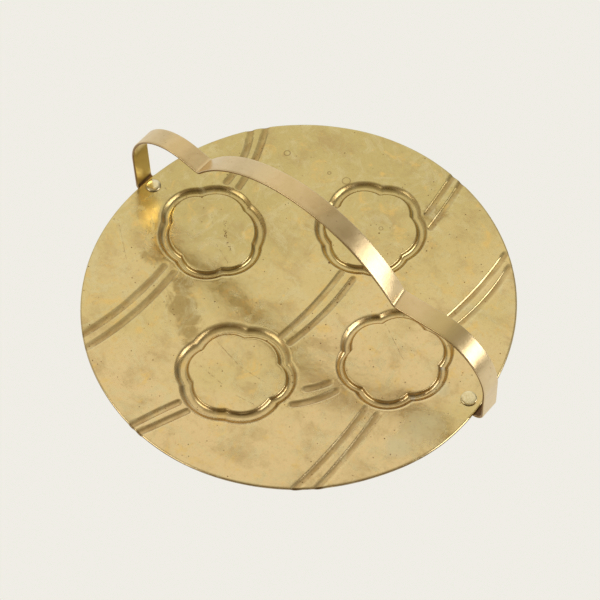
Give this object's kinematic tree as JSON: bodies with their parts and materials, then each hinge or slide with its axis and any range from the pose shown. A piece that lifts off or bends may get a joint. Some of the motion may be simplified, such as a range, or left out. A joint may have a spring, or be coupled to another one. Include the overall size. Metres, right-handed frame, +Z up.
{
  "type": "brass tray",
  "caption": "Round pressed brass drinks tray with lobed cup rings, shallow stem grooves and an arched strap handle riveted at both sides of the rim.",
  "frame": {"origin": "on the surface the tray stands on, in the middle of its outer box", "axes": "+Z up out of the plate, +X along the handle towards its wider hump, +Y across the handle"},
  "size_m": [0.309, 0.3, 0.1146],
  "materials": {
    "plate_brass": "worn polish with a thin aged lacquer",
    "strap_brass": "satin, lightly tarnished",
    "rivet_brass": "worn polish"
  },
  "bodies": {
    "root": {"tray_plate": "plate_brass", "strap_handle": "strap_brass", "rivet_left": "rivet_brass", "rivet_right": "rivet_brass"}
  },
  "joints": []
}
